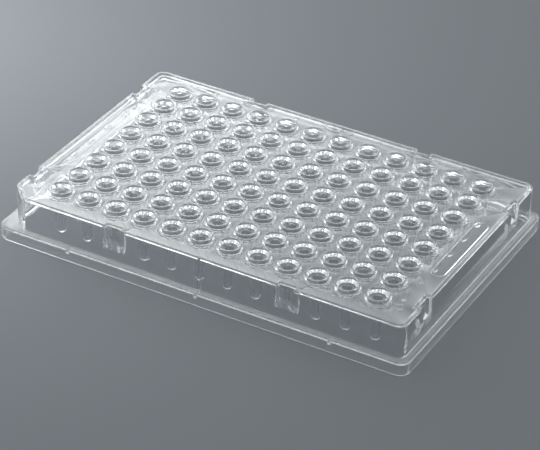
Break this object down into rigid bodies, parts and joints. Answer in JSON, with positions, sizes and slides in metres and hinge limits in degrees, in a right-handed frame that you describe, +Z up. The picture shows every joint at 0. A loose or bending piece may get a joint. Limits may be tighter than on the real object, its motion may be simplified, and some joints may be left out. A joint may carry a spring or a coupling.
{
  "type": "well plate",
  "caption": "Clear rectangular laboratory microplate with a grid of narrow tapered wells in raised rims, pocketed side walls and a stepped base skirt.",
  "frame": {"origin": "centre of the footprint, on the plane of the base", "axes": "+X along the long side towards the last column, +Y towards row A, +Z up out of the wells"},
  "size_m": [0.1278, 0.0854, 0.0151],
  "materials": {
    "clear_plastic": "clear moulded polystyrene, polished"
  },
  "bodies": {
    "root": {"well_plate": "clear_plastic"}
  },
  "joints": []
}
